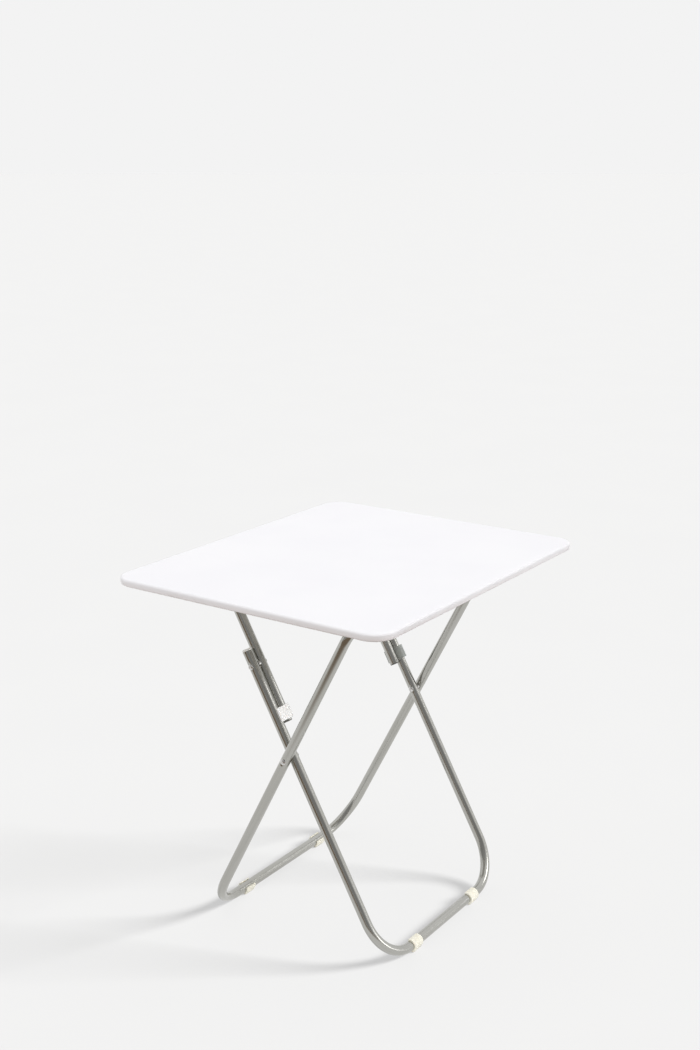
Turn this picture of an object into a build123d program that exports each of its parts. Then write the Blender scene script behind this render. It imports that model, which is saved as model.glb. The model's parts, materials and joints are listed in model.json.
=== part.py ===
from build123d import *
import os

# Folding side table. X runs across the spread of the legs, Y along the pivot axes,
# Z up. The origin is on the floor under the middle of the top. "near" is the -Y side.

# ---- driving dimensions, millimetres ----
TABLE_HEIGHT = 600.0
TOP_LENGTH = 500.0            # along X
TOP_WIDTH = 600.0             # along Y
TOP_THICKNESS = 12.0
TOP_CORNER_RADIUS = 35.0
TOP_UPPER_ROUND = 4.0
TOP_LOWER_ROUND = 3.0
FOIL_THICKNESS = 0.5
BACKING_THICKNESS = 0.4

TUBE_RADIUS = 8.0
TUBE_WALL = 1.0
BAR_HEIGHT = 10.0             # centre line of the floor bars
BAR_DROP = 10.0               # centre line of the cross bars below the top

OUTER_FOOT_X = -154.6
OUTER_BAR_X = 139.4
INNER_FOOT_X = 179.6
ARM_BAR_X = -140.1
OUTER_LEG_Y = 196.5
INNER_LEG_Y = 176.5
ARM_Y = 156.5
FLOOR_BEND = 72.0             # centre-line radii of the tube bends
OUTER_TOP_BEND = 50.0
ARM_TOP_BEND = 45.0

KNEE_TO_LEG_END = 29.0        # the inner leg runs on past the knee rivet
KNEE_TO_ARM_END = 102.0       # the arm runs on beside the inner leg
KNEE_TO_CLIP = 86.5

FOOT_CLIP_LENGTH = 23.0
FOOT_PAD_WIDTH = 14.0
FOOT_CLIP_RADIUS = 10.4
FOOT_MOUTH_ANGLE = 100.0      # degrees of the bar that the clip leaves open
OUTER_FOOT_TURN = -20.0       # where the mouth faces, degrees from straight up towards -X
INNER_FOOT_TURN = 75.0
OUTER_FOOT_CLIP_Y = {"near": -101.0, "far": 105.0}
INNER_FOOT_CLIP_Y = {"near": -92.5, "far": 86.5}

LOCK_CLIP_LENGTH = 22.0
LOCK_RING_RADIUS = 12.3
LOCK_FLAT = 11.6              # half width between the flats that clear the tubes beside it
LOCK_LIP_RADIUS = 11.0        # outer face of the lip, from the clasped tube's centre line
LOCK_LIP_REACH = 2.0          # how far the lip passes the clasped tube's centre line
LOCK_CORNER = 1.0

BRACKET_LENGTH = 24.0
BRACKET_WALL = 3.2
BRACKET_FLANGE = 13.0
BRACKET_FLANGE_THICKNESS = 4.0
OUTER_BRACKET_Y = 118.0
ARM_BRACKET_Y = 88.0
SCREW_RADIUS = 1.8
SCREW_HEAD_RADIUS = 3.6
SCREW_HEAD_HEIGHT = 1.8
SCREW_LENGTH = 12.5

RIVET_RADIUS = 2.5
RIVET_HEAD_RADIUS = 4.7
RIVET_HEAD_HEIGHT = 1.8
SPACER_RADIUS = 4.7
PLUG_DEPTH = 12.0
LEG_CAP_HEIGHT = 3.5
ARM_PLUG_HEIGHT = 1.5
SLEEVE_LENGTH = 70.0
BUTT_GAP = 0.3

RUNNING_GAP = 0.05            # rivet shank in its hole
FREE_GAP = 0.3                # curved faces that pass each other
SEAT_GAP = 0.02               # pieces pressed together

# ---- places worked out from them ----
UNDERSIDE = TABLE_HEIGHT - TOP_THICKNESS
CROSS_BAR_Z = UNDERSIDE - BAR_DROP
OUTER_FOOT = Vector(OUTER_FOOT_X, 0, BAR_HEIGHT)
OUTER_BAR = Vector(OUTER_BAR_X, 0, CROSS_BAR_Z)
INNER_FOOT = Vector(INNER_FOOT_X, 0, BAR_HEIGHT)
ARM_BAR = Vector(ARM_BAR_X, 0, CROSS_BAR_Z)
SIDES = {"near": -1, "far": 1}


def crossing_point():
    """Where the outer leg's line meets the line through the inner leg and the arm."""
    rise = CROSS_BAR_Z - BAR_HEIGHT
    outer_slope = (OUTER_BAR_X - OUTER_FOOT_X) / rise
    inner_slope = (ARM_BAR_X - INNER_FOOT_X) / rise
    height = (INNER_FOOT_X - OUTER_FOOT_X) / (outer_slope - inner_slope)
    return Vector(OUTER_FOOT_X + outer_slope * height, 0, BAR_HEIGHT + height)


CROSSING = crossing_point()
OUTER_UP = (OUTER_BAR - OUTER_FOOT).normalized()
INNER_UP = (ARM_BAR - INNER_FOOT).normalized()
# The knee sits where both halves of the linkage lie down together under the top.
ARM_LENGTH = ((ARM_BAR - CROSSING).length - (OUTER_BAR - CROSSING).length
              + (OUTER_BAR - ARM_BAR).length) / 2
KNEE = ARM_BAR - INNER_UP * ARM_LENGTH


def at_y(point, y):
    return Vector(point.X, y, point.Z)


def along_y(point, radius, start, end):
    """A cylinder on the Y axis direction through point, from y=start to y=end."""
    low = min(start, end)
    plane = Plane(origin=at_y(point, low), z_dir=(0, 1, 0))
    return extrude(plane * Circle(radius), abs(end - start))


def tube_along(points, radii):
    """A hollow tube along a bent centre line."""
    path = FilletPolyline(*points, radius=radii) if radii else Polyline(*points)
    section = Plane(origin=path @ 0, z_dir=path % 0) * (Circle(TUBE_RADIUS) - Circle(TUBE_RADIUS - TUBE_WALL))
    return sweep(section, path=path)


def straight_rod(start, end, radius):
    return extrude(Plane(origin=start, z_dir=end - start) * Circle(radius), (end - start).length)


# ---- the top ----
def rounded_plate(inset, low, high):
    """The top's outline, drawn in by inset, between two heights."""
    length = TOP_LENGTH - 2 * inset
    width = TOP_WIDTH - 2 * inset
    outline = RectangleRounded(length, width, TOP_CORNER_RADIUS - inset)
    return extrude(Plane.XY.offset(low) * outline, high - low)


def rounded_edges(plate, upper, lower):
    """Round the rim edges at the plate's upper and lower faces."""
    top_face = plate.faces().sort_by(Axis.Z)[-1]
    plate = fillet(top_face.edges(), upper)
    if lower:
        bottom_face = plate.faces().sort_by(Axis.Z)[0]
        plate = fillet(bottom_face.edges(), lower)
    return plate


def top_panel():
    """The board, and the foil wrapped over its upper face and rim."""
    whole = rounded_edges(rounded_plate(0, UNDERSIDE + BACKING_THICKNESS, TABLE_HEIGHT),
                          TOP_UPPER_ROUND, TOP_LOWER_ROUND)
    core = rounded_edges(rounded_plate(FOIL_THICKNESS, UNDERSIDE + BACKING_THICKNESS,
                                       TABLE_HEIGHT - FOIL_THICKNESS),
                         TOP_UPPER_ROUND - FOIL_THICKNESS, TOP_LOWER_ROUND - FOIL_THICKNESS)
    backing = rounded_plate(TOP_LOWER_ROUND, UNDERSIDE, UNDERSIDE + BACKING_THICKNESS)
    pilot = Compound([screw_pilot(x, y) for x, y in screw_places()])
    return {"top_core": core - pilot, "top_foil": whole - core, "underside_sheet": backing - pilot}


# ---- brackets that hold the two cross bars under the top ----
def bracket_places():
    return {
        "outer_leg_bracket_near": (OUTER_BAR_X, -OUTER_BRACKET_Y),
        "outer_leg_bracket_far": (OUTER_BAR_X, OUTER_BRACKET_Y),
        "arm_bracket_near": (ARM_BAR_X, -ARM_BRACKET_Y),
        "arm_bracket_far": (ARM_BAR_X, ARM_BRACKET_Y),
    }


SCREW_OFFSET = TUBE_RADIUS + FREE_GAP + BRACKET_WALL + BRACKET_FLANGE / 2


def screw_places():
    return [(x + side * SCREW_OFFSET, y) for x, y in bracket_places().values() for side in (-1, 1)]


def screw_pilot(x, y):
    depth = SCREW_LENGTH - BRACKET_FLANGE_THICKNESS + 1.0
    return Pos(x, y, UNDERSIDE + depth / 2) * Cylinder(SCREW_RADIUS + SEAT_GAP, depth)


def bracket(x, y):
    """A saddle round the bar with a screwed flange on each side."""
    bore = TUBE_RADIUS + FREE_GAP
    outer = bore + BRACKET_WALL
    saddle = Circle(outer) + Pos(0, BAR_DROP / 2) * Rectangle(2 * outer, BAR_DROP)
    flange = Pos(0, BAR_DROP - BRACKET_FLANGE_THICKNESS / 2) * Rectangle(
        2 * (outer + BRACKET_FLANGE), BRACKET_FLANGE_THICKNESS)
    above = Pos(0, 2 * BAR_DROP) * Rectangle(4 * outer, 2 * BAR_DROP)
    plane = Plane(origin=(x, y + BRACKET_LENGTH / 2, CROSS_BAR_Z), x_dir=(1, 0, 0), z_dir=(0, -1, 0))
    body = extrude(plane * (saddle + flange - Circle(bore) - above), BRACKET_LENGTH)
    body = fillet(body.edges().filter_by(Axis.Z).group_by(SortBy.LENGTH)[0], 1.5)
    for side in (-1, 1):
        body -= Pos(x + side * SCREW_OFFSET, y, UNDERSIDE) * Cylinder(
            SCREW_RADIUS + SEAT_GAP, 4 * BRACKET_FLANGE_THICKNESS)
    return body


def bracket_screw(x, y):
    head_z = UNDERSIDE - BRACKET_FLANGE_THICKNESS
    head = Pos(x, y, head_z - SCREW_HEAD_HEIGHT / 2) * Cylinder(SCREW_HEAD_RADIUS, SCREW_HEAD_HEIGHT)
    head = fillet(head.edges().sort_by(Axis.Z)[0], SCREW_HEAD_HEIGHT / 2)
    slot = Rectangle(SCREW_HEAD_RADIUS * 1.2, 0.9) + Rectangle(0.9, SCREW_HEAD_RADIUS * 1.2)
    head -= extrude(Plane.XY.offset(head_z - SCREW_HEAD_HEIGHT) * Pos(x, y) * slot, 0.9)
    shank = Pos(x, y, head_z + SCREW_LENGTH / 2) * Cylinder(SCREW_RADIUS, SCREW_LENGTH)
    return head + shank


# ---- tube frames ----
def outer_leg_frame():
    """A closed loop; its ends butt over a sleeve in the middle of the cross bar."""
    corners = [(OUTER_BAR, 0.5 * BUTT_GAP), (OUTER_BAR, OUTER_LEG_Y), (OUTER_FOOT, OUTER_LEG_Y),
               (OUTER_FOOT, -OUTER_LEG_Y), (OUTER_BAR, -OUTER_LEG_Y), (OUTER_BAR, -0.5 * BUTT_GAP)]
    frame = tube_along([at_y(point, y) for point, y in corners],
                       [OUTER_TOP_BEND, FLOOR_BEND, FLOOR_BEND, OUTER_TOP_BEND])
    return frame - rivet_bore(CROSSING, OUTER_LEG_Y, SEAT_GAP)


def inner_leg_frame():
    """A U whose open ends stand up past the knee rivets."""
    end = KNEE + INNER_UP * (KNEE_TO_LEG_END - LEG_CAP_HEIGHT)
    corners = [(end, INNER_LEG_Y), (INNER_FOOT, INNER_LEG_Y), (INNER_FOOT, -INNER_LEG_Y), (end, -INNER_LEG_Y)]
    frame = tube_along([at_y(point, y) for point, y in corners], [FLOOR_BEND, FLOOR_BEND])
    frame -= rivet_bore(CROSSING, INNER_LEG_Y, SEAT_GAP)
    return frame - rivet_bore(KNEE, INNER_LEG_Y, RUNNING_GAP)


def arm_frame():
    """A U hung by its cross bar, with its open ends beside the inner leg."""
    end = KNEE - INNER_UP * (KNEE_TO_ARM_END - ARM_PLUG_HEIGHT)
    corners = [(end, ARM_Y), (ARM_BAR, ARM_Y), (ARM_BAR, -ARM_Y), (end, -ARM_Y)]
    frame = tube_along([at_y(point, y) for point, y in corners], [ARM_TOP_BEND, ARM_TOP_BEND])
    return frame - rivet_bore(KNEE, ARM_Y, SEAT_GAP)


def rivet_bore(point, y, gap):
    """Holes right through the tubes at +y and -y."""
    reach = TUBE_RADIUS + 2
    return Compound([along_y(point, RIVET_RADIUS + gap, side * y - reach, side * y + reach)
                     for side in SIDES.values()])


def tube_plug(end, direction, y, height):
    """A flanged plug that closes a tube end and points out along direction."""
    end = at_y(end, y)
    inner = TUBE_RADIUS - TUBE_WALL - SEAT_GAP
    stem = straight_rod(end - direction * (PLUG_DEPTH + height), end - direction * height, inner)
    cap = straight_rod(end - direction * height, end, TUBE_RADIUS)
    rim = cap.edges().filter_by(GeomType.CIRCLE).sort_by(Axis(tuple(end), tuple(direction)))[-1]
    return fillet(rim, height * 0.7) + stem


def bar_sleeve():
    return along_y(OUTER_BAR, TUBE_RADIUS - TUBE_WALL - SEAT_GAP, -SLEEVE_LENGTH / 2, SLEEVE_LENGTH / 2)


# ---- rivets and spacers ----
def rivet_head(point, y, outward):
    """A domed head that sits on the tube at y and faces along outward."""
    head = along_y(point, RIVET_HEAD_RADIUS, y, y + outward * RIVET_HEAD_HEIGHT)
    rim = head.edges().filter_by(GeomType.CIRCLE).sort_by(Axis.Y)[-1 if outward > 0 else 0]
    return fillet(rim, RIVET_HEAD_HEIGHT * 0.8)


def cross_rivet_outer(side):
    """The half of the crossing rivet that stays in the outer leg."""
    outside = side * (OUTER_LEG_Y + TUBE_RADIUS)
    tip = side * (INNER_LEG_Y + TUBE_RADIUS + FREE_GAP)
    return rivet_head(CROSSING, outside, side) + along_y(CROSSING, RIVET_RADIUS, tip, outside)


def cross_rivet_inner(side):
    """The half of the crossing rivet that stays in the inner leg."""
    inside = side * (INNER_LEG_Y - TUBE_RADIUS)
    tip = side * (INNER_LEG_Y + TUBE_RADIUS)
    return rivet_head(CROSSING, inside, -side) + along_y(CROSSING, RIVET_RADIUS, inside, tip)


def knee_rivet(side):
    """One rivet through the inner leg and the arm."""
    outside = side * (INNER_LEG_Y + TUBE_RADIUS)
    inside = side * (ARM_Y - TUBE_RADIUS)
    shank = along_y(KNEE, RIVET_RADIUS, inside, outside + side * FREE_GAP)
    return rivet_head(KNEE, outside + side * FREE_GAP, side) + shank + rivet_head(KNEE, inside, -side)


def saddle_spacer(point, tube_y, tube_up, facing_y, side):
    """A spacer with a hollow that sits on the tube at tube_y and a flat towards facing_y."""
    towards = side if facing_y > tube_y else -side
    start = side * tube_y + towards * (TUBE_RADIUS - 2)
    flat = side * facing_y - towards * (TUBE_RADIUS + FREE_GAP)
    body = along_y(point, SPACER_RADIUS, start, flat)
    middle = at_y(point, side * tube_y)
    body -= straight_rod(middle - tube_up * 20, middle + tube_up * 20, TUBE_RADIUS + SEAT_GAP)
    return body - along_y(point, RIVET_RADIUS + SEAT_GAP, start, flat)


# ---- clips that stop the knee when the arm and the inner leg are in line ----
def lock_clip(ring_y, lip_side):
    """A thick ring on one tube, with a lip over the next tube towards -Y.

    The lip lies on that tube's +X side (lip_side 1) or its -X side (lip_side -1).
    """
    middle = KNEE - INNER_UP * KNEE_TO_CLIP
    plane = Plane(origin=at_y(middle, ring_y) - INNER_UP * LOCK_CLIP_LENGTH / 2,
                  x_dir=(0, -1, 0), z_dir=INNER_UP)
    back = lip_side if plane.y_dir.X > 0 else -lip_side
    pitch = INNER_LEG_Y - ARM_Y
    reach = pitch + LOCK_LIP_REACH
    ring = Circle(LOCK_RING_RADIUS) & Rectangle(2 * LOCK_FLAT, 2 * LOCK_RING_RADIUS)
    lip = Pos(reach / 2, back * LOCK_LIP_RADIUS / 2) * Rectangle(reach, LOCK_LIP_RADIUS)
    outline = ring + lip
    outline -= Circle(TUBE_RADIUS + SEAT_GAP)
    outline -= Pos(pitch, 0) * Circle(TUBE_RADIUS + FREE_GAP)
    clip = extrude(plane * outline, LOCK_CLIP_LENGTH)
    tip = at_y(middle, ring_y - reach) + plane.y_dir * back * LOCK_LIP_RADIUS
    long_edges = clip.edges().filter_by(Axis(tuple(tip), tuple(INNER_UP)))
    return fillet(long_edges.sort_by_distance(tip)[0], LOCK_CORNER)


# ---- feet ----
def foot_clip(foot, y, turn):
    """A push-on clip with a flat pad; its mouth is turned from straight up towards -X."""
    plane = Plane(origin=(foot.X, y + FOOT_CLIP_LENGTH / 2, 0), x_dir=(1, 0, 0), z_dir=(0, -1, 0))
    centre = Pos(0, BAR_HEIGHT)
    outline = centre * Circle(FOOT_CLIP_RADIUS) + Pos(0, 2) * Rectangle(FOOT_PAD_WIDTH, 4)
    outline -= centre * Circle(TUBE_RADIUS + SEAT_GAP)
    reach = 2 * FOOT_CLIP_RADIUS
    corner = Vector(0, reach).rotate(Axis.Z, FOOT_MOUTH_ANGLE / 2)
    mouth = Polygon((0, 0), (-corner.X, corner.Y), (corner.X, corner.Y), align=None)
    outline -= centre * Rot(0, 0, turn) * mouth
    outline -= Pos(0, -5) * Rectangle(60, 10)
    return extrude(plane * outline, FOOT_CLIP_LENGTH)


def build():
    parts = top_panel()
    for name, (x, y) in bracket_places().items():
        parts[name] = bracket(x, y)
    parts["bracket_screws"] = Compound([bracket_screw(x, y) for x, y in screw_places()])
    parts["outer_leg_frame"] = outer_leg_frame()
    parts["outer_leg_sleeve"] = bar_sleeve()
    parts["inner_leg_frame"] = inner_leg_frame()
    parts["arm_frame"] = arm_frame()
    leg_end = KNEE + INNER_UP * KNEE_TO_LEG_END
    arm_end = KNEE - INNER_UP * KNEE_TO_ARM_END
    for word, side in SIDES.items():
        parts["cross_rivet_outer_" + word] = cross_rivet_outer(side)
        parts["cross_rivet_inner_" + word] = cross_rivet_inner(side)
        parts["cross_spacer_" + word] = saddle_spacer(CROSSING, OUTER_LEG_Y, OUTER_UP, INNER_LEG_Y, side)
        parts["knee_rivet_" + word] = knee_rivet(side)
        parts["knee_spacer_" + word] = saddle_spacer(KNEE, ARM_Y, INNER_UP, INNER_LEG_Y, side)
        parts["inner_leg_cap_" + word] = tube_plug(leg_end, INNER_UP, side * INNER_LEG_Y,
                                                    LEG_CAP_HEIGHT)
        parts["arm_plug_" + word] = tube_plug(arm_end, -INNER_UP, side * ARM_Y, ARM_PLUG_HEIGHT)
        parts["outer_foot_clip_" + word] = foot_clip(OUTER_FOOT, OUTER_FOOT_CLIP_Y[word], OUTER_FOOT_TURN)
        parts["inner_foot_clip_" + word] = foot_clip(INNER_FOOT, INNER_FOOT_CLIP_Y[word], INNER_FOOT_TURN)
    parts["lock_clip_near"] = lock_clip(-ARM_Y, 1)
    parts["lock_clip_far"] = lock_clip(INNER_LEG_Y, -1)
    return parts


os.makedirs("parts", exist_ok=True)
for name, shape in build().items():
    export_step(shape, os.path.join("parts", name + ".step"))
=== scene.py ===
import json
import math

import bmesh
import bpy
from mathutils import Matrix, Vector
from mathutils.geometry import tessellate_polygon

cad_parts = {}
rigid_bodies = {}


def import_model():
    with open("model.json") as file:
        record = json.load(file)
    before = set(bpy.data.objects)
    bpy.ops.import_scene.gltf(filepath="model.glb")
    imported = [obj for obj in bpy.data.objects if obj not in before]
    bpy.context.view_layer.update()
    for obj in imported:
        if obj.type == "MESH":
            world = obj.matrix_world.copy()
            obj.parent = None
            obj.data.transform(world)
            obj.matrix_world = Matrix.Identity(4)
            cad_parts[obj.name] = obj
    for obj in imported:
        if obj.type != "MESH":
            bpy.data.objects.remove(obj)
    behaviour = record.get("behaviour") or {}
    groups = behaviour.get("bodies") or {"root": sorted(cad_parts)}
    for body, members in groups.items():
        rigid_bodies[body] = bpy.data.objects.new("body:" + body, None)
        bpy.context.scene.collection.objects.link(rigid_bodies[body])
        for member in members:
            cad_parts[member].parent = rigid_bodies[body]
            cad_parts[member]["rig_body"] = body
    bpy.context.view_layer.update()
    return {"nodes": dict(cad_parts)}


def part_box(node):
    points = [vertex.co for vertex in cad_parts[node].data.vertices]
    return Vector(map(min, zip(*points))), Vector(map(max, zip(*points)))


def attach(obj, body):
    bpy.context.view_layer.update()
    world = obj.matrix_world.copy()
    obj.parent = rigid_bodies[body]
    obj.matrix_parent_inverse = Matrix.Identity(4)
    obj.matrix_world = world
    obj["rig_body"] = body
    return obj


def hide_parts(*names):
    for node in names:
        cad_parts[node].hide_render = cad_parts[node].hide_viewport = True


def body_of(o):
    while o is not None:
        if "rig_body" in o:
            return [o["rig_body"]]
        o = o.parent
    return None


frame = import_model()

# Folding side table. X runs across the spread of the legs, Y along the pivots, Z up.
# All lengths are in metres. "near" is the -Y side.

# ---- driving dimensions ----
TABLE_HEIGHT = 0.600
TOP_LENGTH = 0.500
TOP_WIDTH = 0.600
TOP_THICKNESS = 0.012
TOP_CORNER_RADIUS = 0.035
TOP_UPPER_ROUND = 0.004
TOP_LOWER_ROUND = 0.003
FOIL_THICKNESS = 0.0005
BACKING_THICKNESS = 0.0004

TUBE_RADIUS = 0.008
TUBE_WALL = 0.001
BAR_HEIGHT = 0.010
BAR_DROP = 0.010
OUTER_FOOT_X = -0.1546
OUTER_BAR_X = 0.1394
INNER_FOOT_X = 0.1796
ARM_BAR_X = -0.1401
OUTER_LEG_Y = 0.1965
INNER_LEG_Y = 0.1765
ARM_Y = 0.1565
FLOOR_BEND = 0.072
OUTER_TOP_BEND = 0.050
ARM_TOP_BEND = 0.045
BUTT_GAP = 0.0003
KNEE_TO_LEG_END = 0.029
KNEE_TO_ARM_END = 0.102
KNEE_TO_CLIP = 0.0865
LEG_CAP_HEIGHT = 0.0035
ARM_PLUG_HEIGHT = 0.0015
CAP_DEPTH = 0.012
STEM_RIBS = 3
STEM_RIB_PITCH = 0.003

FOOT_PAD_WIDTH = 0.014
FOOT_CLIP_RADIUS = 0.0104
FOOT_MOUTH_ANGLE = 100.0      # degrees of the bar that the clip leaves open
OUTER_FOOT_TURN = -20.0       # where the mouth faces, degrees from straight up towards -X
INNER_FOOT_TURN = 75.0

LOCK_CLIP_LENGTH = 0.022
LOCK_RING_RADIUS = 0.0123
LOCK_FLAT = 0.0116
LOCK_LIP_RADIUS = 0.011
LOCK_LIP_REACH = 0.002
LOCK_LIP_CORNER = 0.0012
LOCK_EDGE = 0.0009
FOOT_EDGE = 0.0006
PAD_LEAD = 0.0009             # the slope at each side of a foot pad
PUSH_FIT = 0.00002            # between a clip and its own tube

RIVET_SHANK = 0.0025
RIVET_HEAD = 0.0047
RIVET_DOME = 0.0018
RIVET_RIM = 0.0005            # height of the straight edge of a rivet head
RIVET_CROWN_LOSS = 0.0007     # how far the dished crown stays below the full dome
RIVET_DISH = [(0.0012, 0.0), (0.0008, -0.0002), (0.0003, -0.0004)]
RIVET_SPOT = 0.0006           # how deep the tube is pressed flat under a rivet head
SPOT_RADIUS = 0.0046          # the flat of a pressed spot
SPOT_EASE = 0.0036            # over which the tube wall comes back to round
SPOT_REACH = 0.0085
SPACER_RADIUS = 0.0047
FREE_GAP = 0.0003

TUBE_SIDES = 64
TUBE_LIP = 0.0003             # how far a tube's open end is rounded
BORE_SHOWN = 1.2              # depth of the modelled bore, in cap depths
RUN_STEP = 0.025              # between rings on a straight run
FINE_STEP = 0.001             # between rings beside a rivet
FINE_STEPS = 11
FINE_REACH = 0.012
SIDES = {"near": -1, "far": 1}

UNDERSIDE = TABLE_HEIGHT - TOP_THICKNESS
CROSS_BAR_Z = UNDERSIDE - BAR_DROP
OUTER_FOOT = Vector((OUTER_FOOT_X, 0, BAR_HEIGHT))
OUTER_BAR = Vector((OUTER_BAR_X, 0, CROSS_BAR_Z))
INNER_FOOT = Vector((INNER_FOOT_X, 0, BAR_HEIGHT))
ARM_BAR = Vector((ARM_BAR_X, 0, CROSS_BAR_Z))
OUTER_UP = (OUTER_BAR - OUTER_FOOT).normalized()
INNER_UP = (ARM_BAR - INNER_FOOT).normalized()
Y_AXIS = Vector((0, 1, 0))


def middle_of(node):
    low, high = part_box(node)
    return (low + high) / 2


def at_y(point, y):
    return Vector((point.x, y, point.z))


CROSSING = at_y(middle_of("cross_rivet_outer_near"), 0)
KNEE = at_y(middle_of("knee_rivet_near"), 0)


# ---- the shader arithmetic ----
class Socket:
    """A node's output that can be added, multiplied and so on."""

    def __init__(self, finish, link):
        self.finish = finish
        self.link = link

    def maths(self, operation, first, second):
        return self.finish.add("Math", {"operation": operation}, {0: first, 1: second})

    def __add__(self, other):
        return self.maths("ADD", self, other)

    def __radd__(self, other):
        return self.maths("ADD", other, self)

    def __sub__(self, other):
        return self.maths("SUBTRACT", self, other)

    def __rsub__(self, other):
        return self.maths("SUBTRACT", other, self)

    def __mul__(self, other):
        return self.maths("MULTIPLY", self, other)

    def __rmul__(self, other):
        return self.maths("MULTIPLY", other, self)

    def step(self, low, high):
        """0 below low, 1 above high, smooth between."""
        return self.finish.add("MapRange", {"interpolation_type": "SMOOTHSTEP"},
                               {"Value": self, "From Min": low, "From Max": high})

    def band(self, low, high, soft):
        """1 between low and high, falling to 0 over soft on each side."""
        return self.step(low - soft, low) * (1 - self.step(high, high + soft))

    def between(self, low, high):
        """A 0 to 1 value stretched to run from low to high."""
        return self * (high - low) + low


class Finish:
    """A procedural material, or the world, while its nodes are being made."""

    def __init__(self, owner, shader="BsdfPrincipled", target="OutputMaterial"):
        owner.use_nodes = True
        self.owner = owner
        self.tree = owner.node_tree
        self.tree.nodes.clear()
        self.shader = self.tree.nodes.new("ShaderNode" + shader)
        out = self.tree.nodes.new("ShaderNode" + target)
        self.tree.links.new(self.shader.outputs[0], out.inputs["Surface"])

    def feed(self, target, value):
        if isinstance(value, Socket):
            self.tree.links.new(value.link, target)
        else:
            target.default_value = value

    def add(self, kind, settings, inputs, output=0):
        node = self.tree.nodes.new("ShaderNode" + kind)
        for key, value in settings.items():
            setattr(node, key, value)
        for key, value in inputs.items():
            self.feed(node.inputs[key], value)
        return Socket(self, node.outputs[output])

    def set(self, **values):
        """Feed the shader's sockets, an underscore standing for a space."""
        for key, value in values.items():
            self.feed(self.shader.inputs[key.replace("_", " ")], value)

    def place(self):
        return self.add("TexCoord", {}, {}, "Object")

    def along(self):
        """The piece's own flat coordinates: round it, and along it in metres."""
        return self.add("UVMap", {"uv_map": "along"}, {})

    def axis(self, vector, name):
        return self.add("SeparateXYZ", {}, {"Vector": vector}, name)

    def towards(self, vector, direction):
        """How far the vector reaches in a fixed direction of the scene."""
        return self.add("VectorMath", {"operation": "DOT_PRODUCT"}, {0: vector, 1: direction}, "Value")

    def stretched(self, vector, scale):
        return self.add("VectorMath", {"operation": "MULTIPLY"}, {0: vector, 1: scale})

    def noise(self, vector, scale, detail=2.0, rough=0.5):
        return self.add("TexNoise", {}, {"Vector": vector, "Scale": scale, "Detail": detail,
                                         "Roughness": rough})

    def cells(self, vector, scale):
        """Distance from the nearest of many scattered points."""
        return self.add("TexVoronoi", {}, {"Vector": vector, "Scale": scale}, "Distance")

    def mix(self, factor, first, second):
        return self.add("Mix", {"data_type": "RGBA"}, {0: factor, 6: first, 7: second}, 2)

    def bump(self, height, distance, strength=1.0, under=None):
        inputs = {"Height": height, "Distance": distance, "Strength": strength}
        if under:
            inputs["Normal"] = under
        return self.add("Bump", {}, inputs)


def colour(red, green, blue):
    return (red, green, blue, 1.0)


def new_finish(name):
    return Finish(bpy.data.materials.new(name))


def scratches(finish, vector, scale, width):
    """Thin broken lines that run along the piece."""
    lines = finish.noise(finish.stretched(vector, (scale, scale * 0.02, 1)), 1.0, 1.0)
    patches = finish.noise(vector, 14.0, 2.0).step(0.56, 0.7)
    return lines.band(0.5 - width, 0.5 + width, width) * patches


# ---- materials ----
def silver_tube():
    """Silver lacquer over drawn steel tube, with rubbed and dulled places."""
    finish = new_finish("silver_tube")
    place = finish.place()
    along = finish.along()
    drawn = finish.noise(finish.stretched(along, (60.0, 6.0, 1)), 1.0, 3.0)
    cloud = finish.noise(place, 9.0, 3.0)
    grain = finish.noise(place, 2600.0, 1.0)
    marks = scratches(finish, along, 40.0, 0.012)
    chips = (1 - finish.cells(place, 70.0).step(0.03, 0.07)) * finish.noise(place, 21.0).step(0.58, 0.66)
    low = 1 - finish.axis(place, "Z").step(0.0, 0.012)
    dust = low * finish.noise(place, 40.0, 2.0).step(0.35, 0.75)
    base = finish.mix(cloud.step(0.3, 0.7), colour(0.445, 0.44, 0.41), colour(0.485, 0.48, 0.455))
    base = finish.mix(drawn.step(0.35, 0.65) * 0.35, base, colour(0.40, 0.40, 0.365))
    base = finish.mix(marks * 0.5, base, colour(0.75, 0.75, 0.74))
    base = finish.mix(chips * 0.6, base, colour(0.30, 0.28, 0.26))
    base = finish.mix(dust * 0.35, base, colour(0.58, 0.55, 0.50))
    rough = cloud.between(0.13, 0.21) + marks * 0.1 + dust * 0.1
    finish.set(Base_Color=base, Roughness=rough, Metallic=1 - dust * 0.5 - chips * 0.4)
    relief = finish.bump(drawn, 0.000004, 0.4)
    relief = finish.bump(grain, 0.000001, 0.3, relief)
    finish.set(Normal=relief, Coat_Weight=0.1, Coat_Roughness=0.12)
    return finish.owner


def sleeve_steel():
    """Plain turned steel with brown stains."""
    finish = new_finish("sleeve_steel")
    place = finish.place()
    turned = finish.noise(finish.stretched(place, (40.0, 900.0, 40.0)), 1.0, 2.0)
    stain = finish.noise(place, 60.0, 4.0).step(0.5, 0.7)
    base = finish.mix(stain * 0.5, colour(0.48, 0.47, 0.46), colour(0.32, 0.25, 0.20))
    finish.set(Base_Color=base, Roughness=turned.between(0.3, 0.5), Metallic=1.0)
    finish.set(Normal=finish.bump(turned, 0.00003))
    return finish.owner


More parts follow.
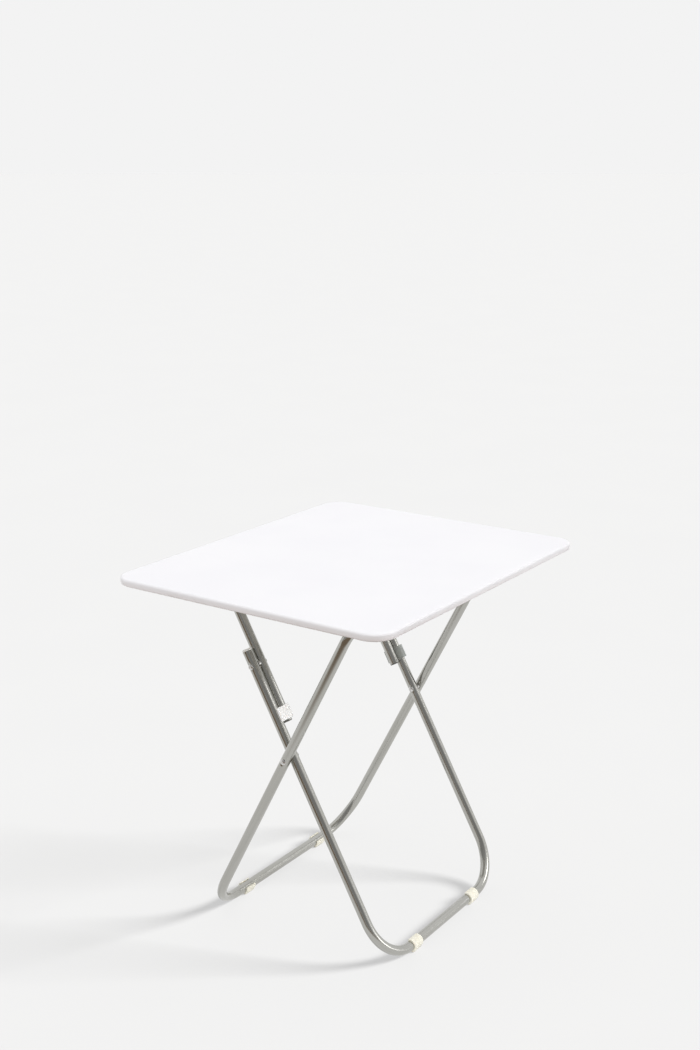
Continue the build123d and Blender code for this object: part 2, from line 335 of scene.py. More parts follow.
def rivet_steel():
    """Bright plated steel with faint rings from the setting tool and small pits."""
    finish = new_finish("rivet_steel")
    place = finish.place()
    out = finish.axis(finish.along(), "Y")
    rings = finish.add("Math", {"operation": "SINE"}, {0: out * 14000.0})
    cloud = finish.noise(place, 300.0, 3.0)
    pits = 1 - finish.cells(place, 900.0).step(0.05, 0.16)
    base = finish.mix(cloud.step(0.4, 0.62), colour(0.66, 0.65, 0.64), colour(0.80, 0.80, 0.79))
    base = finish.mix(pits * 0.4, base, colour(0.25, 0.23, 0.21))
    finish.set(Base_Color=base, Roughness=cloud.between(0.12, 0.28), Metallic=1.0)
    finish.set(Normal=finish.bump(rings * 0.5 + pits * -1.0, 0.00002, 0.6))
    return finish.owner


def screw_steel():
    """Zinc plate, slightly yellow and uneven."""
    finish = new_finish("screw_steel")
    place = finish.place()
    cloud = finish.noise(place, 400.0, 3.0)
    base = finish.mix(cloud.step(0.4, 0.65), colour(0.56, 0.55, 0.50), colour(0.68, 0.67, 0.62))
    finish.set(Base_Color=base, Roughness=cloud.between(0.25, 0.42), Metallic=1.0)
    finish.set(Normal=finish.bump(finish.noise(place, 1500.0), 0.00003, 0.5))
    return finish.owner


def white_foil():
    """White foil with a fine satin pebble, faint marks and a slightly rubbed rim."""
    finish = new_finish("white_foil")
    place = finish.place()
    pebble = finish.noise(place, 1100.0, 2.0, 0.55)
    fine = finish.noise(place, 4200.0, 1.0)
    cloud = finish.noise(place, 5.0, 3.0)
    wipe = finish.noise(finish.stretched(place, (9.0, 30.0, 9.0)), 1.0, 4.0).step(0.5, 0.75)
    rim = 1 - finish.axis(place, "Z").step(UNDERSIDE + 0.001, TABLE_HEIGHT - 0.003)
    rub = rim * finish.noise(place, 45.0, 5.0).step(0.52, 0.7)
    specks = 1 - finish.cells(place, 48.0).step(0.015, 0.03)
    base = finish.mix(cloud.step(0.35, 0.65), colour(0.836, 0.830, 0.860), colour(0.853, 0.848, 0.872))
    base = finish.mix(rim * 0.5, base, colour(0.86, 0.81, 0.82))
    base = finish.mix(rub * 0.35, base, colour(0.70, 0.67, 0.66))
    base = finish.mix(specks * 0.12, base, colour(0.55, 0.54, 0.53))
    finish.set(Base_Color=base, Roughness=cloud.between(0.36, 0.44) + wipe * 0.06 + rub * 0.1)
    relief = finish.bump(pebble, 0.00005, 0.5)
    finish.set(Normal=finish.bump(fine, 0.00001, 0.4, relief), Specular_IOR_Level=0.45)
    return finish.owner


def backing_sheet():
    """Pale grey paper backing with a soft fibre grain."""
    finish = new_finish("backing")
    place = finish.place()
    fibre = finish.noise(finish.stretched(place, (60.0, 900.0, 60.0)), 1.0, 3.0)
    cloud = finish.noise(place, 7.0, 3.0)
    flecks = 1 - finish.cells(place, 220.0).step(0.04, 0.1)
    base = finish.mix(cloud.step(0.35, 0.65), colour(0.66, 0.65, 0.62), colour(0.72, 0.71, 0.69))
    base = finish.mix(fibre.step(0.4, 0.7) * 0.3, base, colour(0.58, 0.56, 0.52))
    base = finish.mix(flecks * 0.4, base, colour(0.50, 0.46, 0.40))
    finish.set(Base_Color=base, Roughness=fibre.between(0.62, 0.8))
    finish.set(Normal=finish.bump(fibre, 0.00006, 0.6))
    return finish.owner


def board():
    """Pressed wood chips."""
    finish = new_finish("board")
    place = finish.place()
    chips = finish.cells(finish.stretched(place, (1.0, 1.0, 2.5)), 320.0)
    cloud = finish.noise(place, 500.0, 3.0)
    base = finish.mix(chips.step(0.1, 0.6), colour(0.62, 0.46, 0.28), colour(0.42, 0.29, 0.16))
    base = finish.mix(cloud.step(0.5, 0.7) * 0.5, base, colour(0.74, 0.60, 0.40))
    finish.set(Base_Color=base, Roughness=0.85, Normal=finish.bump(chips, 0.0004))
    return finish.owner


def moulded(name, pale, deep, rough, darkened_height, far=None):
    """Moulded plastic with a fine matt grain; darker in patches near the bottom, below the given height.

    A piece on the far side of the table takes the colour far, where one is given: painted shade, a darker
    copy of the same plastic where the top shades it.
    """
    finish = new_finish(name)
    place = finish.place()
    grain = finish.noise(place, 2400.0, 2.0)
    flow = finish.noise(finish.stretched(place, (60.0, 160.0, 60.0)), 1.0, 3.0)
    scuff = finish.noise(place, 260.0, 5.0).step(0.56, 0.7)
    base = finish.mix(flow.step(0.3, 0.7), pale, deep)
    # painted shade: pieces at positive Y take the darker colour far, as if in the top's shadow
    if far:
        base = finish.mix(finish.axis(place, "Y").step(0.0, 0.01), base, far)
    base = finish.mix(scuff * 0.18, base, colour(0.52, 0.50, 0.45))
    if darkened_height:
        # darker in patches towards the bottom of the piece
        low = 1 - finish.axis(place, "Z").step(0.0, darkened_height)
        low_patches = low * finish.noise(place, 500.0, 4.0).step(0.35, 0.7)
        base = finish.mix(low_patches * 0.55, base, colour(0.36, 0.33, 0.29))
    finish.set(Base_Color=base, Roughness=flow.between(rough - 0.05, rough + 0.07) + scuff * 0.1)
    finish.set(Normal=finish.bump(grain, 0.00003, 0.5), Subsurface_Weight=0.08,
               Subsurface_Radius=(0.9, 0.8, 0.7), Subsurface_Scale=0.002)
    return finish.owner


MATERIALS = {
    "silver_tube": silver_tube(),
    "sleeve_steel": sleeve_steel(),
    "rivet_steel": rivet_steel(),
    "screw_steel": screw_steel(),
    "white_foil": white_foil(),
    "backing": backing_sheet(),
    "board": board(),
    "bracket_plastic": moulded("bracket_plastic", colour(0.80, 0.80, 0.79), colour(0.74, 0.74, 0.73),
                               0.42, 0),
    # the third colour is painted shade: the far lock clip is the same white plastic, painted grey as if the
    # top shades it
    "lock_plastic": moulded("lock_plastic", colour(0.96, 0.96, 0.96), colour(0.94, 0.94, 0.935),
                            0.36, 0, colour(0.44, 0.47, 0.45)),
    "plug_plastic": moulded("plug_plastic", colour(0.20, 0.20, 0.195), colour(0.15, 0.15, 0.145),
                            0.45, 0),
    "cap_plastic": moulded("cap_plastic", colour(0.88, 0.88, 0.86), colour(0.84, 0.84, 0.82), 0.4, 0),
    "foot_plastic": moulded("foot_plastic", colour(0.87, 0.845, 0.74), colour(0.83, 0.80, 0.68),
                            0.42, 0.006),
}


# ---- mesh helpers ----
def finished_piece(name, mesh, node, slot, sharp=math.radians(35)):
    """An object from a bmesh: smooth but for sharp edges, on the body of the node it replaces."""
    bmesh.ops.recalc_face_normals(mesh, faces=mesh.faces)
    data = bpy.data.meshes.new(name)
    mesh.to_mesh(data)
    mesh.free()
    data.shade_smooth()
    data.set_sharp_from_angle(angle=sharp)
    data.materials.append(MATERIALS[slot])
    piece = bpy.data.objects.new(name, data)
    bpy.context.scene.collection.objects.link(piece)
    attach(piece, frame["nodes"][node]["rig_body"])
    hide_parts(node)
    return piece


def add_rings(mesh, rings, loop=False, capped=True):
    """A skin through matching rings of points; loop joins the last ring to the first."""
    layer = mesh.loops.layers.uv.get("along") or mesh.loops.layers.uv.new("along")
    rows = [[mesh.verts.new(point) for point in circle] for circle in rings]
    lengths = [0.0]
    for first, second in zip(rings, rings[1:] + rings[:1]):
        lengths.append(lengths[-1] + (first[0] - second[0]).length)
    around = len(rows[0])
    for i in range(len(rows) if loop else len(rows) - 1):
        first, second = rows[i], rows[(i + 1) % len(rows)]
        for k in range(around):
            after = (k + 1) % around
            face = mesh.faces.new((first[k], first[after], second[after], second[k]))
            corners = ((k, i), (k + 1, i), (k + 1, i + 1), (k, i + 1))
            for corner, (turn, row) in zip(face.loops, corners):
                corner[layer].uv = (turn / around, lengths[row])
    if capped and not loop:
        mesh.faces.new(reversed(rows[0]))
        mesh.faces.new(rows[-1])


def ring(centre, normal, binormal, radius, count=TUBE_SIDES):
    points = []
    for k in range(count):
        turn = 2 * math.pi * k / count
        points.append(centre + (normal * math.cos(turn) + binormal * math.sin(turn)) * radius)
    return points


def cross_axes(axis):
    """Two unit vectors square to the axis and to each other."""
    helper = Y_AXIS if abs(axis.y) < 0.9 else Vector((0, 0, 1))
    first = axis.cross(helper).normalized()
    return first, axis.cross(first).normalized()


def add_lathe(mesh, profile, origin, axis, count=48):
    """A turned solid from (radius, height along axis) pairs."""
    normal, binormal = cross_axes(axis)
    add_rings(mesh, [ring(origin + axis * height, normal, binormal, radius, count)
                     for radius, height in profile])


def rounded_profile(radius, low, high, corner, steps=5):
    """Profile pairs that climb a wall and roll over to the top."""
    pairs = [(radius, low)]
    for k in range(steps + 1):
        turn = math.pi / 2 * k / steps
        pairs.append((radius - corner + corner * math.cos(turn), high - corner + corner * math.sin(turn)))
    return pairs


# ---- tube frames ----
def centre_line(corners, bends, fine_places):
    """(point, direction) samples along straight runs and arcs, closer together at the fine places."""
    samples = []
    start = corners[0]
    for i in range(1, len(corners)):
        corner = corners[i]
        before = (corner - corners[i - 1]).normalized()
        last = i == len(corners) - 1
        turn = 0.0 if last else before.angle(corners[i + 1] - corner)
        tangent = 0.0 if last else bends[i - 1] * math.tan(turn / 2)
        samples += run_samples(start, corner - before * tangent, before, fine_places)
        if last:
            break
        after = (corners[i + 1] - corner).normalized()
        inward = (after - before).normalized()
        centre = corner + inward * bends[i - 1] / math.cos(turn / 2)
        spoke = corner - before * tangent - centre
        hub = before.cross(after).normalized()
        steps = max(8, round(math.degrees(turn) / 3))
        for k in range(1, steps):
            spin = turn * k / steps
            rolled = spoke * math.cos(spin) + hub.cross(spoke) * math.sin(spin)
            heading = before * math.cos(spin) + hub.cross(before) * math.sin(spin)
            samples.append((centre + rolled, heading))
        start = corner + after * tangent
    return samples


def run_samples(start, end, heading, fine_places):
    """Samples on one straight run: far apart, and close together beside a rivet."""
    length = (end - start).length
    stops = {0.0, length}
    stops.update(k * RUN_STEP for k in range(1, int(length / RUN_STEP)))
    for place in fine_places:
        middle = (place - start).dot(heading)
        off_line = (place - start - heading * middle).length
        if off_line < 0.001 and 0 < middle < length:
            stops = {stop for stop in stops if abs(stop - middle) > FINE_REACH}
            close = [middle + k * FINE_STEP for k in range(-FINE_STEPS, FINE_STEPS + 1)]
            stops.update(stop for stop in close if 0 <= stop <= length)
    return [(start + heading * stop, heading) for stop in sorted(stops)]


def pressed_flat(point, spots):
    """Press the tube wall in where a rivet head or spacer bears on it."""
    for spot in spots:
        away = math.hypot(point.x - spot.x, point.z - spot.z)
        if away > SPOT_REACH or abs(point.y - spot.y) > TUBE_RADIUS * 1.1:
            continue
        ease = min(max((away - SPOT_RADIUS) / SPOT_EASE, 0.0), 1.0)
        ease = ease * ease * (3 - 2 * ease)
        limit = TUBE_RADIUS - RIVET_SPOT
        depth = point.y - spot.y
        if abs(depth) > limit:
            over = (abs(depth) - limit) * ease
            point = at_y(point, spot.y + math.copysign(limit + over, depth))
    return point


def tube_frame(name, node, corners, bends, rivets):
    """A bent tube with open ends; its wall turns in and runs back to a stop at each end."""
    samples = centre_line(corners, bends, rivets)
    plane_normal = (corners[1] - corners[0]).cross(corners[2] - corners[1]).normalized()
    bore = TUBE_RADIUS - TUBE_WALL
    lip = TUBE_LIP
    bore_end = CAP_DEPTH * BORE_SHOWN
    rings = []
    for centre, heading in samples:
        circle = ring(centre, plane_normal, heading.cross(plane_normal), TUBE_RADIUS)
        rings.append([pressed_flat(point, rivets) for point in circle])
    for end, heading, back in ((0, samples[0][1], 1), (-1, samples[-1][1], -1)):
        centre = samples[end][0]
        binormal = heading.cross(plane_normal)
        shapes = [(TUBE_RADIUS, lip), (TUBE_RADIUS - lip, 0.0), (bore + lip, 0.0), (bore, lip),
                  (bore, bore_end)]
        turned_in = [ring(centre + heading * back * deep, plane_normal, binormal, radius)
                     for radius, deep in shapes]
        if end == 0:
            rings = turned_in[::-1] + rings[1:]
        else:
            rings = rings[:-1] + turned_in
    mesh = bmesh.new()
    add_rings(mesh, rings)
    return finished_piece(name, mesh, node, "silver_tube")


def at_both(point, y):
    return [at_y(point, -y), at_y(point, y)]


def build_frames():
    leg_end = KNEE + INNER_UP * (KNEE_TO_LEG_END - LEG_CAP_HEIGHT)
    arm_end = KNEE - INNER_UP * (KNEE_TO_ARM_END - ARM_PLUG_HEIGHT)
    outer = [(OUTER_BAR, -BUTT_GAP / 2), (OUTER_BAR, -OUTER_LEG_Y), (OUTER_FOOT, -OUTER_LEG_Y),
             (OUTER_FOOT, OUTER_LEG_Y), (OUTER_BAR, OUTER_LEG_Y), (OUTER_BAR, BUTT_GAP / 2)]
    tube_frame("outer_leg_tube", "outer_leg_frame", [at_y(point, y) for point, y in outer],
               [OUTER_TOP_BEND, FLOOR_BEND, FLOOR_BEND, OUTER_TOP_BEND], at_both(CROSSING, OUTER_LEG_Y))
    inner = [(leg_end, -INNER_LEG_Y), (INNER_FOOT, -INNER_LEG_Y),
             (INNER_FOOT, INNER_LEG_Y), (leg_end, INNER_LEG_Y)]
    tube_frame("inner_leg_tube", "inner_leg_frame", [at_y(point, y) for point, y in inner],
               [FLOOR_BEND, FLOOR_BEND], at_both(CROSSING, INNER_LEG_Y) + at_both(KNEE, INNER_LEG_Y))
    arm = [(arm_end, -ARM_Y), (ARM_BAR, -ARM_Y), (ARM_BAR, ARM_Y), (arm_end, ARM_Y)]
    tube_frame("arm_tube", "arm_frame", [at_y(point, y) for point, y in arm],
               [ARM_TOP_BEND, ARM_TOP_BEND], at_both(KNEE, ARM_Y))


# ---- rivets, spacers and end caps ----
def head_profile(base, outward):
    """A domed head with a thin rim and a small dished centre, from its base outwards."""
    pairs = [(RIVET_HEAD - 0.0003, 0.0), (RIVET_HEAD, 0.0002), (RIVET_HEAD, RIVET_RIM)]
    dome = RIVET_DOME + RIVET_SPOT - RIVET_CROWN_LOSS
    for k in range(1, 8):
        turn = math.pi / 2 * k / 8
        pairs.append((0.0011 + (RIVET_HEAD - 0.0014) * math.cos(turn), RIVET_RIM + dome * math.sin(turn)))
    pairs += [(radius, RIVET_RIM + dome + drop) for radius, drop in RIVET_DISH]
    return [(radius, base + outward * height) for radius, height in pairs]


def rivet(name, node, point, heads, shank_end=None):
    """One turned rivet along Y.

    heads holds (base y, outward) pairs; the shank of a half rivet stops at shank_end.
    """
    mesh = bmesh.new()
    profile = head_profile(*heads[0])[::-1] + [(RIVET_SHANK, heads[0][0])]
    if shank_end is None:
        profile += [(RIVET_SHANK, heads[1][0])] + head_profile(*heads[1])
    else:
        profile += [(RIVET_SHANK, shank_end)]
    add_lathe(mesh, profile, point, Y_AXIS)
    return finished_piece(name, mesh, node, "rivet_steel", math.radians(50))


def spacer(name, node, point, tube_y, tube_up, towards, flat_y):
    """A ring round the rivet with a saddle on the tube at tube_y and a flat face at flat_y."""
    across = tube_up.cross(Y_AXIS).normalized()
    mesh = bmesh.new()
    rings = []
    corner = 0.0004
    for radius, rise in ((RIVET_SHANK + 0.0001, 0.0), (SPACER_RADIUS - corner, 0.0), (SPACER_RADIUS, corner),
                         (SPACER_RADIUS, None), (RIVET_SHANK + 0.0001, None)):
        circle = ring(at_y(point, flat_y), across, tube_up, radius, 48)
        if rise is None:
            circle = [at_y(spot, saddle_height(spot - point, across, tube_y, towards)) for spot in circle]
        else:
            circle = [at_y(spot, flat_y - towards * rise) for spot in circle]
        rings.append(circle)
    add_rings(mesh, rings, loop=True)
    return finished_piece(name, mesh, node, "rivet_steel")


def saddle_height(offset, across, tube_y, towards):
    """Where the tube's wall is at this offset, no deeper than its pressed spot."""
    beside = offset.dot(across)
    wall = math.sqrt(TUBE_RADIUS ** 2 - beside ** 2)
    return tube_y + towards * min(wall, TUBE_RADIUS - RIVET_SPOT)


def build_rivets():
    bearing = TUBE_RADIUS - RIVET_SPOT
    for word, side in SIDES.items():
        outer_face = side * (OUTER_LEG_Y + bearing)
        inner_face = side * (INNER_LEG_Y - bearing)
        rivet("cross_rivet_head_out_" + word, "cross_rivet_outer_" + word, CROSSING,
              [(outer_face, side)], side * (INNER_LEG_Y + TUBE_RADIUS + FREE_GAP))
        rivet("cross_rivet_head_in_" + word, "cross_rivet_inner_" + word, CROSSING,
              [(inner_face, -side)], side * (INNER_LEG_Y + TUBE_RADIUS))
        rivet("knee_rivet_pin_" + word, "knee_rivet_" + word, KNEE,
              [(side * (INNER_LEG_Y + bearing + FREE_GAP), side), (side * (ARM_Y - bearing), -side)])
        low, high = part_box("cross_spacer_" + word)
        reach = sorted((low.y, high.y), key=abs)
        spacer("cross_spacer_ring_" + word, "cross_spacer_" + word, CROSSING, side * OUTER_LEG_Y, OUTER_UP,
               -side, reach[0])
        low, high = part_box("knee_spacer_" + word)
        reach = sorted((low.y, high.y), key=abs)
        spacer("knee_spacer_ring_" + word, "knee_spacer_" + word, KNEE, side * ARM_Y, INNER_UP,
               side, reach[1])


def tube_cap(name, node, slot, end, direction, height, face):
    """A plug pushed into a tube's end: ribbed stem, round flange of some height, and a face."""
    stem = TUBE_RADIUS - TUBE_WALL - 0.0001
    profile = [(stem - 0.001, -CAP_DEPTH - height), (stem, -CAP_DEPTH - height + 0.001)]
    groove = stem - 0.0005
    for k in range(STEM_RIBS):
        low = -CAP_DEPTH + 0.001 + k * STEM_RIB_PITCH
        profile += [(stem, low), (groove, low + 0.0003), (groove, low + 0.0012), (stem, low + 0.0015)]
    profile.append((stem, -height))
    profile += rounded_profile(TUBE_RADIUS, -height, 0.0, height * 0.7)
    mesh = bmesh.new()
    add_lathe(mesh, profile + face, end, direction)
    return finished_piece(name, mesh, node, slot)


DISHED_FACE = [(0.0048, 0.0), (0.0043, -0.0003), (0.0009, -0.0003), (0.0005, -0.0001)]
HOLLOW_FACE = [(0.0062, 0.0), (0.0057, -0.0005), (0.0054, -0.0105), (0.0005, -0.0108)]


def build_caps():
    leg_end = KNEE + INNER_UP * KNEE_TO_LEG_END
    arm_end = KNEE - INNER_UP * KNEE_TO_ARM_END
    for word, side in SIDES.items():
        tube_cap("inner_leg_end_" + word, "inner_leg_cap_" + word, "cap_plastic",
                 at_y(leg_end, side * INNER_LEG_Y), INNER_UP, LEG_CAP_HEIGHT, DISHED_FACE)
        tube_cap("arm_end_" + word, "arm_plug_" + word, "plug_plastic",
                 at_y(arm_end, side * ARM_Y), -INNER_UP, ARM_PLUG_HEIGHT, HOLLOW_FACE)


# ---- clips ----
def arc(centre, radius, start, end, steps):
    """Points on an arc between two angles in degrees."""
    points = []
    for k in range(steps + 1):
        turn = math.radians(start + (end - start) * k / steps)
        points.append((centre[0] + radius * math.cos(turn), centre[1] + radius * math.sin(turn)))
    return points


def add_extrusion(mesh, outline, holes, origin, right, up, along, length):
    """A bar of one cross-section, from origin along a direction."""
    loops = [outline] + holes
    layer = mesh.loops.layers.uv.get("along") or mesh.loops.layers.uv.new("along")
    ends = []
    for offset in (0.0, length):
        ends.append([[mesh.verts.new(origin + right * x + up * y + along * offset) for x, y in loop]
                     for loop in loops])
    flat = [[vert for loop in end for vert in loop] for end in ends]
    triangles = tessellate_polygon([[Vector((x, y, 0)) for x, y in loop] for loop in loops])
    for end in flat:
        for triangle in triangles:
            mesh.faces.new([end[index] for index in triangle])
    for first, second in zip(*ends):
        for k in range(len(first)):
            after = (k + 1) % len(first)
            face = mesh.faces.new((first[k], first[after], second[after], second[k]))
            for corner, (x, y) in zip(face.loops, ((0, 0), (1, 0), (1, 1), (0, 1))):
                corner[layer].uv = ((k + x) / len(first), y * length)


def soften(piece, width, segments=3):
    """Round the sharp edges of a moulded piece."""
    bevel = piece.modifiers.new("soft_edges", "BEVEL")
    bevel.width = width
    bevel.segments = segments
    bevel.limit_method = "ANGLE"
    bevel.angle_limit = math.radians(38)


def lock_clip_outline(back):
    """The ring and its lip; back is 1 or -1 for the side the lip lies on."""
    pitch = INNER_LEG_Y - ARM_Y
    reach = pitch + LOCK_LIP_REACH
    bore = TUBE_RADIUS + FREE_GAP
    join = math.degrees(math.asin(LOCK_LIP_RADIUS / LOCK_RING_RADIUS))
    flat = math.degrees(math.acos(LOCK_FLAT / LOCK_RING_RADIUS))
    tip = math.degrees(math.acos(LOCK_LIP_REACH / bore))
    corner = LOCK_LIP_CORNER
    points = arc((0, 0), LOCK_RING_RADIUS, join, 180 - flat, 18)
    points += arc((0, 0), LOCK_RING_RADIUS, 180 + flat, 360 - flat, 24)
    points.append((LOCK_FLAT, 0.0))
    points += arc((pitch, 0), bore, 180, tip, 18)
    points += arc((reach - corner, LOCK_LIP_RADIUS - corner), corner, 0, 90, 5)
    return [(x, back * y) for x, y in points]


def lock_clip(name, node, ring_y, lip_side):
    """A thick ring on one tube with a lip over the next tube towards -Y."""
    middle = KNEE - INNER_UP * KNEE_TO_CLIP
    right = -Y_AXIS
    up = INNER_UP.cross(right)
    back = lip_side if up.x > 0 else -lip_side
    hole = arc((0, 0), TUBE_RADIUS + PUSH_FIT, 0, 354, 59)
    mesh = bmesh.new()
    start = at_y(middle, ring_y) - INNER_UP * LOCK_CLIP_LENGTH / 2
    add_extrusion(mesh, lock_clip_outline(back), [hole], start, right, up, INNER_UP, LOCK_CLIP_LENGTH)
    piece = finished_piece(name, mesh, node, "lock_plastic")
    soften(piece, LOCK_EDGE)


def foot_outline(turn):
    """A C round the bar with a flat pad; its mouth is turned from straight up towards -X."""
    pad = FOOT_PAD_WIDTH / 2
    lead = PAD_LEAD
    centre = (0, BAR_HEIGHT)
    first = 90 + turn + FOOT_MOUTH_ANGLE / 2
    last = 450 + turn - FOOT_MOUTH_ANGLE / 2
    pad_turn = math.degrees(math.asin(pad / FOOT_CLIP_RADIUS))
    points = arc(centre, FOOT_CLIP_RADIUS, first, 270 - pad_turn, 24)
    points += [(-pad, lead), (lead - pad, 0.0), (pad - lead, 0.0), (pad, lead)]
    points += arc(centre, FOOT_CLIP_RADIUS, 270 + pad_turn, last, 24)
    points += arc(centre, TUBE_RADIUS + PUSH_FIT, last, first, 48)
    return points


def foot_clip(name, node, foot, turn):
    """A push-on band with a pad, softened along its edges."""
    low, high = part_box(node)
    mesh = bmesh.new()
    add_extrusion(mesh, foot_outline(turn), [], Vector((foot.x, low.y, 0)), Vector((1, 0, 0)),
                  Vector((0, 0, 1)), Y_AXIS, high.y - low.y)
    piece = finished_piece(name, mesh, node, "foot_plastic")
    soften(piece, FOOT_EDGE)


def build_clips():
    lock_clip("lock_catch_near", "lock_clip_near", -ARM_Y, 1)
    lock_clip("lock_catch_far", "lock_clip_far", INNER_LEG_Y, -1)
    for word in SIDES:
        foot_clip("outer_foot_band_" + word, "outer_foot_clip_" + word, OUTER_FOOT, OUTER_FOOT_TURN)
        foot_clip("inner_foot_band_" + word, "inner_foot_clip_" + word, INNER_FOOT, INNER_FOOT_TURN)


# ---- the top ----
def rim_outline(inset, height, corner_steps=14):
    """The top's rounded outline drawn in by inset."""
    radius = TOP_CORNER_RADIUS - inset
    reach_x = TOP_LENGTH / 2 - TOP_CORNER_RADIUS
    reach_y = TOP_WIDTH / 2 - TOP_CORNER_RADIUS
    points = []
    for quarter, (x, y) in enumerate(((1, 1), (-1, 1), (-1, -1), (1, -1))):
        corner = arc((x * reach_x, y * reach_y), radius, 90 * quarter, 90 * quarter + 90, corner_steps)
        points += [Vector((px, py, height)) for px, py in corner]
    return points


def rim_profile(inset, top, bottom, upper, lower, steps=8):
    """(inset, height) pairs from the upper face, round the rim, to the lower face."""
    pairs = []
    for k in range(steps + 1):
        turn = math.pi / 2 * k / steps
        pairs.append((inset + upper * (1 - math.sin(turn)), top - upper * (1 - math.cos(turn))))
    for k in range(steps + 1):
        turn = math.pi / 2 * k / steps
        pairs.append((inset + lower * (1 - math.cos(turn)), bottom + lower * (1 - math.sin(turn))))
    return pairs


def foil_wrap():
    """The foil over the board's upper face and rim, a thin closed shell."""
    bottom = UNDERSIDE + BACKING_THICKNESS
    outside = rim_profile(0, TABLE_HEIGHT, bottom, TOP_UPPER_ROUND, TOP_LOWER_ROUND)
    inside = rim_profile(FOIL_THICKNESS, TABLE_HEIGHT - FOIL_THICKNESS, bottom,
                         TOP_UPPER_ROUND - FOIL_THICKNESS, TOP_LOWER_ROUND - FOIL_THICKNESS)
    flat = 0.012
    pairs = [(flat, TABLE_HEIGHT)] + outside + inside[::-1] + [(flat, TABLE_HEIGHT - FOIL_THICKNESS)]
    mesh = bmesh.new()
    add_rings(mesh, [rim_outline(inset, height) for inset, height in pairs])
    return finished_piece("foil_wrap", mesh, "top_foil", "white_foil", math.radians(30))


def carried_over():
    """CAD nodes that keep their shape and take a procedural material."""
    finishes = {"top_core": "board", "underside_sheet": "backing", "outer_leg_sleeve": "sleeve_steel",
                "bracket_screws": "screw_steel"}
    for word in SIDES:
        finishes["outer_leg_bracket_" + word] = "bracket_plastic"
        finishes["arm_bracket_" + word] = "bracket_plastic"
    for node, slot in finishes.items():
        data = frame["nodes"][node].data
        data.materials.clear()
        data.materials.append(MATERIALS[slot])


# ---- floor, light and camera ----
# Lights, dark side and panel: azimuths in degrees from +X towards +Y, heights in degrees.
BACKDROP = 0.896              # radiance of the floor and of the surroundings as they are seen
KEY_AZIMUTH = 38.0
KEY_HEIGHT = 30.0
KEY_ON_TABLE = 0.30
KEY_ON_TABLE_SPREAD = 17
KEY_ON_FLOOR = 12             # the floor's own key, stronger so that its shadow shows
KEY_ON_FLOOR_SPREAD = 18
FILL_AZIMUTH = -62.0
FILL_HEIGHT = 40.0
FILL_STRENGTH = 1.5
FILL_SPREAD = 25
LAMP_COLOUR = (1.0, 0.995, 0.985)
DARK_AZIMUTH = -70.0
DARK_DEPTH = 0.56
OVERHEAD_GLOW = 0.10
PANEL_AZIMUTH = 30.0
PANEL_GLOW = 2.6
FLOOR_REACH = 60.0
FLOOR_GLOW = 0.496
FLOOR_LEVEL = -0.0002         # just under the pads

SENSOR_WIDTH = 36.0
LENS = 49.13
EYE = (1.2519, -1.8354, 1.2470)
EYE_TILT = math.radians(90 - 14.94)
VIEW_AZIMUTH = math.radians(34.475)

VIEW_SIDE = (math.sin(VIEW_AZIMUTH), -math.cos(VIEW_AZIMUTH), 0.0)
DARK_SIDE = (math.cos(math.radians(DARK_AZIMUTH)), math.sin(math.radians(DARK_AZIMUTH)), 0.0)
PANEL_SIDE = (math.cos(math.radians(PANEL_AZIMUTH)), math.sin(math.radians(PANEL_AZIMUTH)), 0.0)


def seen_directly(finish):
    """1 where the eye sees the stage itself, 0 where the stage lights the table or is mirrored in it."""
    return finish.add("LightPath", {}, {}, "Is Camera Ray")


def floor():
    """A plain pale floor that mostly glows evenly and takes only its own key light's soft shadow.

    To the eye it is pale all over. To light and reflections it is dark brown in front of the table.
    """
    finish = new_finish("floor")
    place = finish.place()
    cloud = finish.noise(place, 3.0, 2.0)
    base = finish.mix(cloud, colour(0.147, 0.147, 0.147), colour(0.153, 0.153, 0.153))
    towards = finish.towards(place, VIEW_SIDE)
    front = towards.step(0.40, 0.80) * (1 - seen_directly(finish))
    glow = finish.mix(front, colour(1.0, 1.0, 1.0), colour(0.22, 0.16, 0.11))
    finish.set(Emission_Color=glow, Emission_Strength=FLOOR_GLOW)
    finish.set(Base_Color=finish.mix(front, base, colour(0.05, 0.04, 0.03)), Roughness=1.0,
               Specular_IOR_Level=0.0)
    edge = ring(Vector((0, 0, FLOOR_LEVEL)), Vector((1, 0, 0)), Y_AXIS, FLOOR_REACH, 96)
    data = bpy.data.meshes.new("floor")
    data.from_pydata(edge, [], [range(len(edge))])
    data.materials.append(finish.owner)
    piece = bpy.data.objects.new("floor", data)
    bpy.context.scene.collection.objects.link(piece)
    return piece


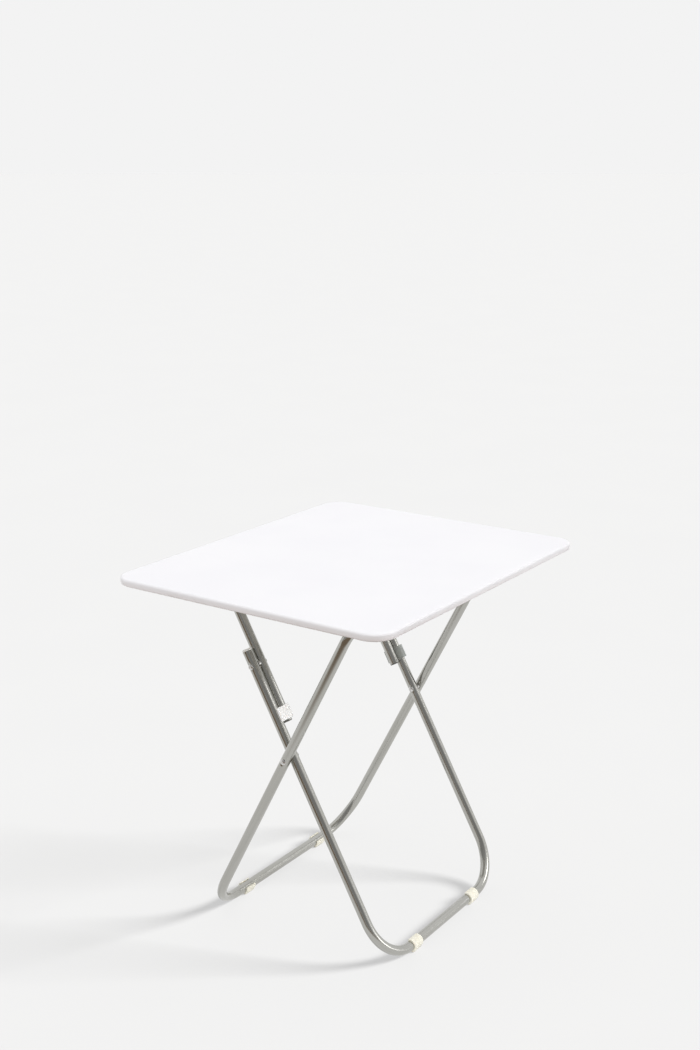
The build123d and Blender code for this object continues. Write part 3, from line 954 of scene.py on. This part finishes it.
def surroundings():
    """A studio with a low bright panel behind to the right, and darker in front.

    To the eye it is pale all over, as the floor is.
    """
    world = bpy.data.worlds.new("studio")
    bpy.context.scene.world = world
    finish = Finish(world, "Background", "OutputWorld")
    direction = finish.add("TexCoord", {}, {}, "Generated")
    facing = finish.towards(direction, DARK_SIDE)
    height = finish.axis(direction, "Z")
    shade = facing.step(0.1, 0.55) * height.step(-0.02, 0.06)
    glow = BACKDROP - shade * DARK_DEPTH + height.step(0.35, 0.95) * OVERHEAD_GLOW
    panel = finish.towards(direction, PANEL_SIDE)
    glow = glow + panel.step(0.972, 0.99) * height.band(-0.02, 0.22, 0.08) * PANEL_GLOW
    seen = seen_directly(finish)
    glow = glow * (1 - seen) + BACKDROP * seen
    finish.set(Color=finish.add("CombineColor", {}, {0: glow, 1: glow, 2: glow}), Strength=1.0)


def studio_light(name, azimuth, height, strength, spread, receivers, blockers):
    """A soft distant lamp that lights only the receivers and is shadowed only by the blockers."""
    light = bpy.data.lights.new(name, "SUN")
    light.energy = strength
    light.angle = math.radians(spread)
    light.color = LAMP_COLOUR
    lamp = bpy.data.objects.new(name, light)
    lamp.rotation_euler = (math.radians(90 - height), 0, math.radians(90 + azimuth))
    bpy.context.scene.collection.objects.link(lamp)
    lamp.light_linking.receiver_collection = group_of(name + "_receivers", receivers)
    lamp.light_linking.blocker_collection = group_of(name + "_blockers", blockers)
    return lamp


def group_of(name, pieces):
    group = bpy.data.collections.new(name)
    for piece in pieces:
        group.objects.link(piece)
    return group


def camera():
    data = bpy.data.cameras.new("camera")
    data.sensor_width = SENSOR_WIDTH
    data.lens = LENS
    data.clip_end = 200.0
    eye = bpy.data.objects.new("camera", data)
    eye.location = EYE
    eye.rotation_euler = (EYE_TILT, 0, VIEW_AZIMUTH)
    bpy.context.scene.collection.objects.link(eye)
    bpy.context.scene.camera = eye


camera()
build_frames()
build_rivets()
build_caps()
build_clips()
foil_wrap()
carried_over()

table_pieces = [piece for piece in bpy.context.scene.objects if piece.type == "MESH"]
ground = floor()
surroundings()
under_top = [piece for piece in table_pieces if body_of(piece) != ["tabletop"]]
studio_light("key_on_table", KEY_AZIMUTH, KEY_HEIGHT, KEY_ON_TABLE, KEY_ON_TABLE_SPREAD,
             table_pieces, table_pieces)
studio_light("key_on_floor", KEY_AZIMUTH, KEY_HEIGHT, KEY_ON_FLOOR, KEY_ON_FLOOR_SPREAD,
             [ground], under_top)
fill = studio_light("fill", FILL_AZIMUTH, FILL_HEIGHT, FILL_STRENGTH, FILL_SPREAD,
                    table_pieces, table_pieces)
fill.visible_glossy = False
bpy.context.scene.view_settings.view_transform = "Standard"
